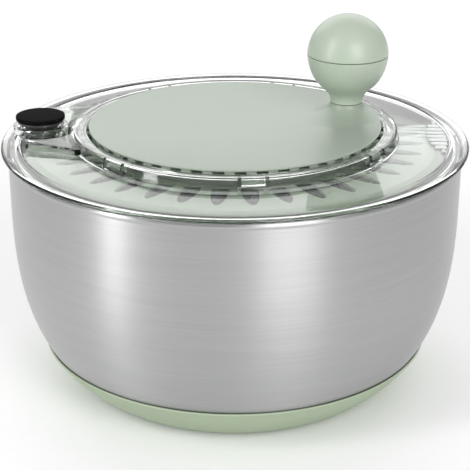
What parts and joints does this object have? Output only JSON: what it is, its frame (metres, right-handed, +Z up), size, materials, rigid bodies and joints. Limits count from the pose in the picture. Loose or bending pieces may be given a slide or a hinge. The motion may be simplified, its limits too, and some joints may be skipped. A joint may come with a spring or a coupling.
{
  "type": "salad spinner",
  "caption": "Salad spinner: steel bowl on a soft base, slotted basket inside, clear lid with a geared crank disc, ball knob, brake button and drain slots",
  "frame": {"origin": "centre of the foot ring on the surface that the bowl stands on", "axes": "+Z up along the spin axis, -Y front, the knob towards +X and a little to the back, the brake button on the -X side, the drain slots on the +X side"},
  "size_m": [0.262, 0.262, 0.208],
  "materials": {
    "brushed_steel": "stainless steel brushed round the bowl, satin",
    "bright_steel": "bright turned steel",
    "sage_silicone": "pale sage silicone, matte",
    "sage_plastic": "pale sage moulded plastic, satin",
    "green_plastic": "soft green moulded plastic, satin",
    "white_nylon": "white nylon, satin",
    "clear_plastic": "clear moulded plastic, polished",
    "black_plastic": "black soft-touch plastic",
    "dark_rubber": "dark rubber, matte"
  },
  "bodies": {
    "bowl_body": {"bowl": "brushed_steel", "base_cup": "sage_silicone"},
    "foot_body": {"basket_foot": "white_nylon"},
    "basket_body": {"basket": "green_plastic"},
    "lid_body": {"lid": "clear_plastic", "gear_housing": "sage_plastic", "idler_rivet_1": "bright_steel", "idler_rivet_2": "bright_steel", "idler_rivet_3": "bright_steel"},
    "crank_body": {"crank_disc": "sage_plastic", "centre_screw": "bright_steel", "knob_pin": "bright_steel"},
    "knob_body": {"knob_base": "sage_plastic", "knob_cap": "sage_plastic", "knob_washer": "bright_steel"},
    "drive_body": {"drive_plate": "green_plastic", "sun_gear": "white_nylon", "centre_washer": "white_nylon"},
    "idler_body_1": {"idler_gear_1": "white_nylon"},
    "idler_body_2": {"idler_gear_2": "white_nylon"},
    "idler_body_3": {"idler_gear_3": "white_nylon"},
    "brake_body": {"brake_button": "black_plastic", "brake_pad": "dark_rubber", "brake_spring": "bright_steel"}
  },
  "joints": [
    {"name": "basket_lift", "type": "slide", "parent": "bowl_body", "child": "foot_body", "axis": [0, 0, 1], "range_m": [0, 0.16]},
    {"name": "basket_spin", "type": "hinge", "parent": "foot_body", "child": "basket_body", "pos_m": [0, 0, 0.012], "axis": [0, 0, 1], "continuous": true},
    {"name": "lid_lift", "type": "slide", "parent": "foot_body", "child": "lid_body", "axis": [0, 0, 1], "range_m": [0, 0.15]},
    {"name": "crank_spin", "type": "hinge", "parent": "lid_body", "child": "crank_body", "pos_m": [0, 0, 0.145], "axis": [0, 0, 1], "continuous": true},
    {"name": "knob_spin", "type": "hinge", "parent": "crank_body", "child": "knob_body", "pos_m": [0.06395, 0.01894, 0.17], "axis": [0, 0, 1], "continuous": true},
    {"name": "drive_spin", "type": "hinge", "parent": "lid_body", "child": "drive_body", "pos_m": [0, 0, 0.136], "axis": [0, 0, 1], "continuous": true},
    {"name": "idler_1_spin", "type": "hinge", "parent": "lid_body", "child": "idler_body_1", "pos_m": [0, 0.03898, 0.14], "axis": [0, 0, 1], "continuous": true},
    {"name": "idler_2_spin", "type": "hinge", "parent": "lid_body", "child": "idler_body_2", "pos_m": [-0.03376, -0.01949, 0.14], "axis": [0, 0, 1], "continuous": true},
    {"name": "idler_3_spin", "type": "hinge", "parent": "lid_body", "child": "idler_body_3", "pos_m": [0.03376, -0.01949, 0.14], "axis": [0, 0, 1], "continuous": true},
    {"name": "brake_press", "type": "slide", "parent": "lid_body", "child": "brake_body", "axis": [0, 0, -1], "range_m": [0, 0.0024], "stiffness_N_per_m": 400, "springref_m": -0.003, "deforming": ["brake_spring"]}
  ],
  "couplings": [
    {"joint": "drive_spin", "follows": "basket_spin", "ratio": 1},
    {"joint": "crank_spin", "follows": "basket_spin", "ratio": -0.25},
    {"joint": "idler_1_spin", "follows": "basket_spin", "ratio": -0.66667},
    {"joint": "idler_2_spin", "follows": "basket_spin", "ratio": -0.66667},
    {"joint": "idler_3_spin", "follows": "basket_spin", "ratio": -0.66667}
  ]
}
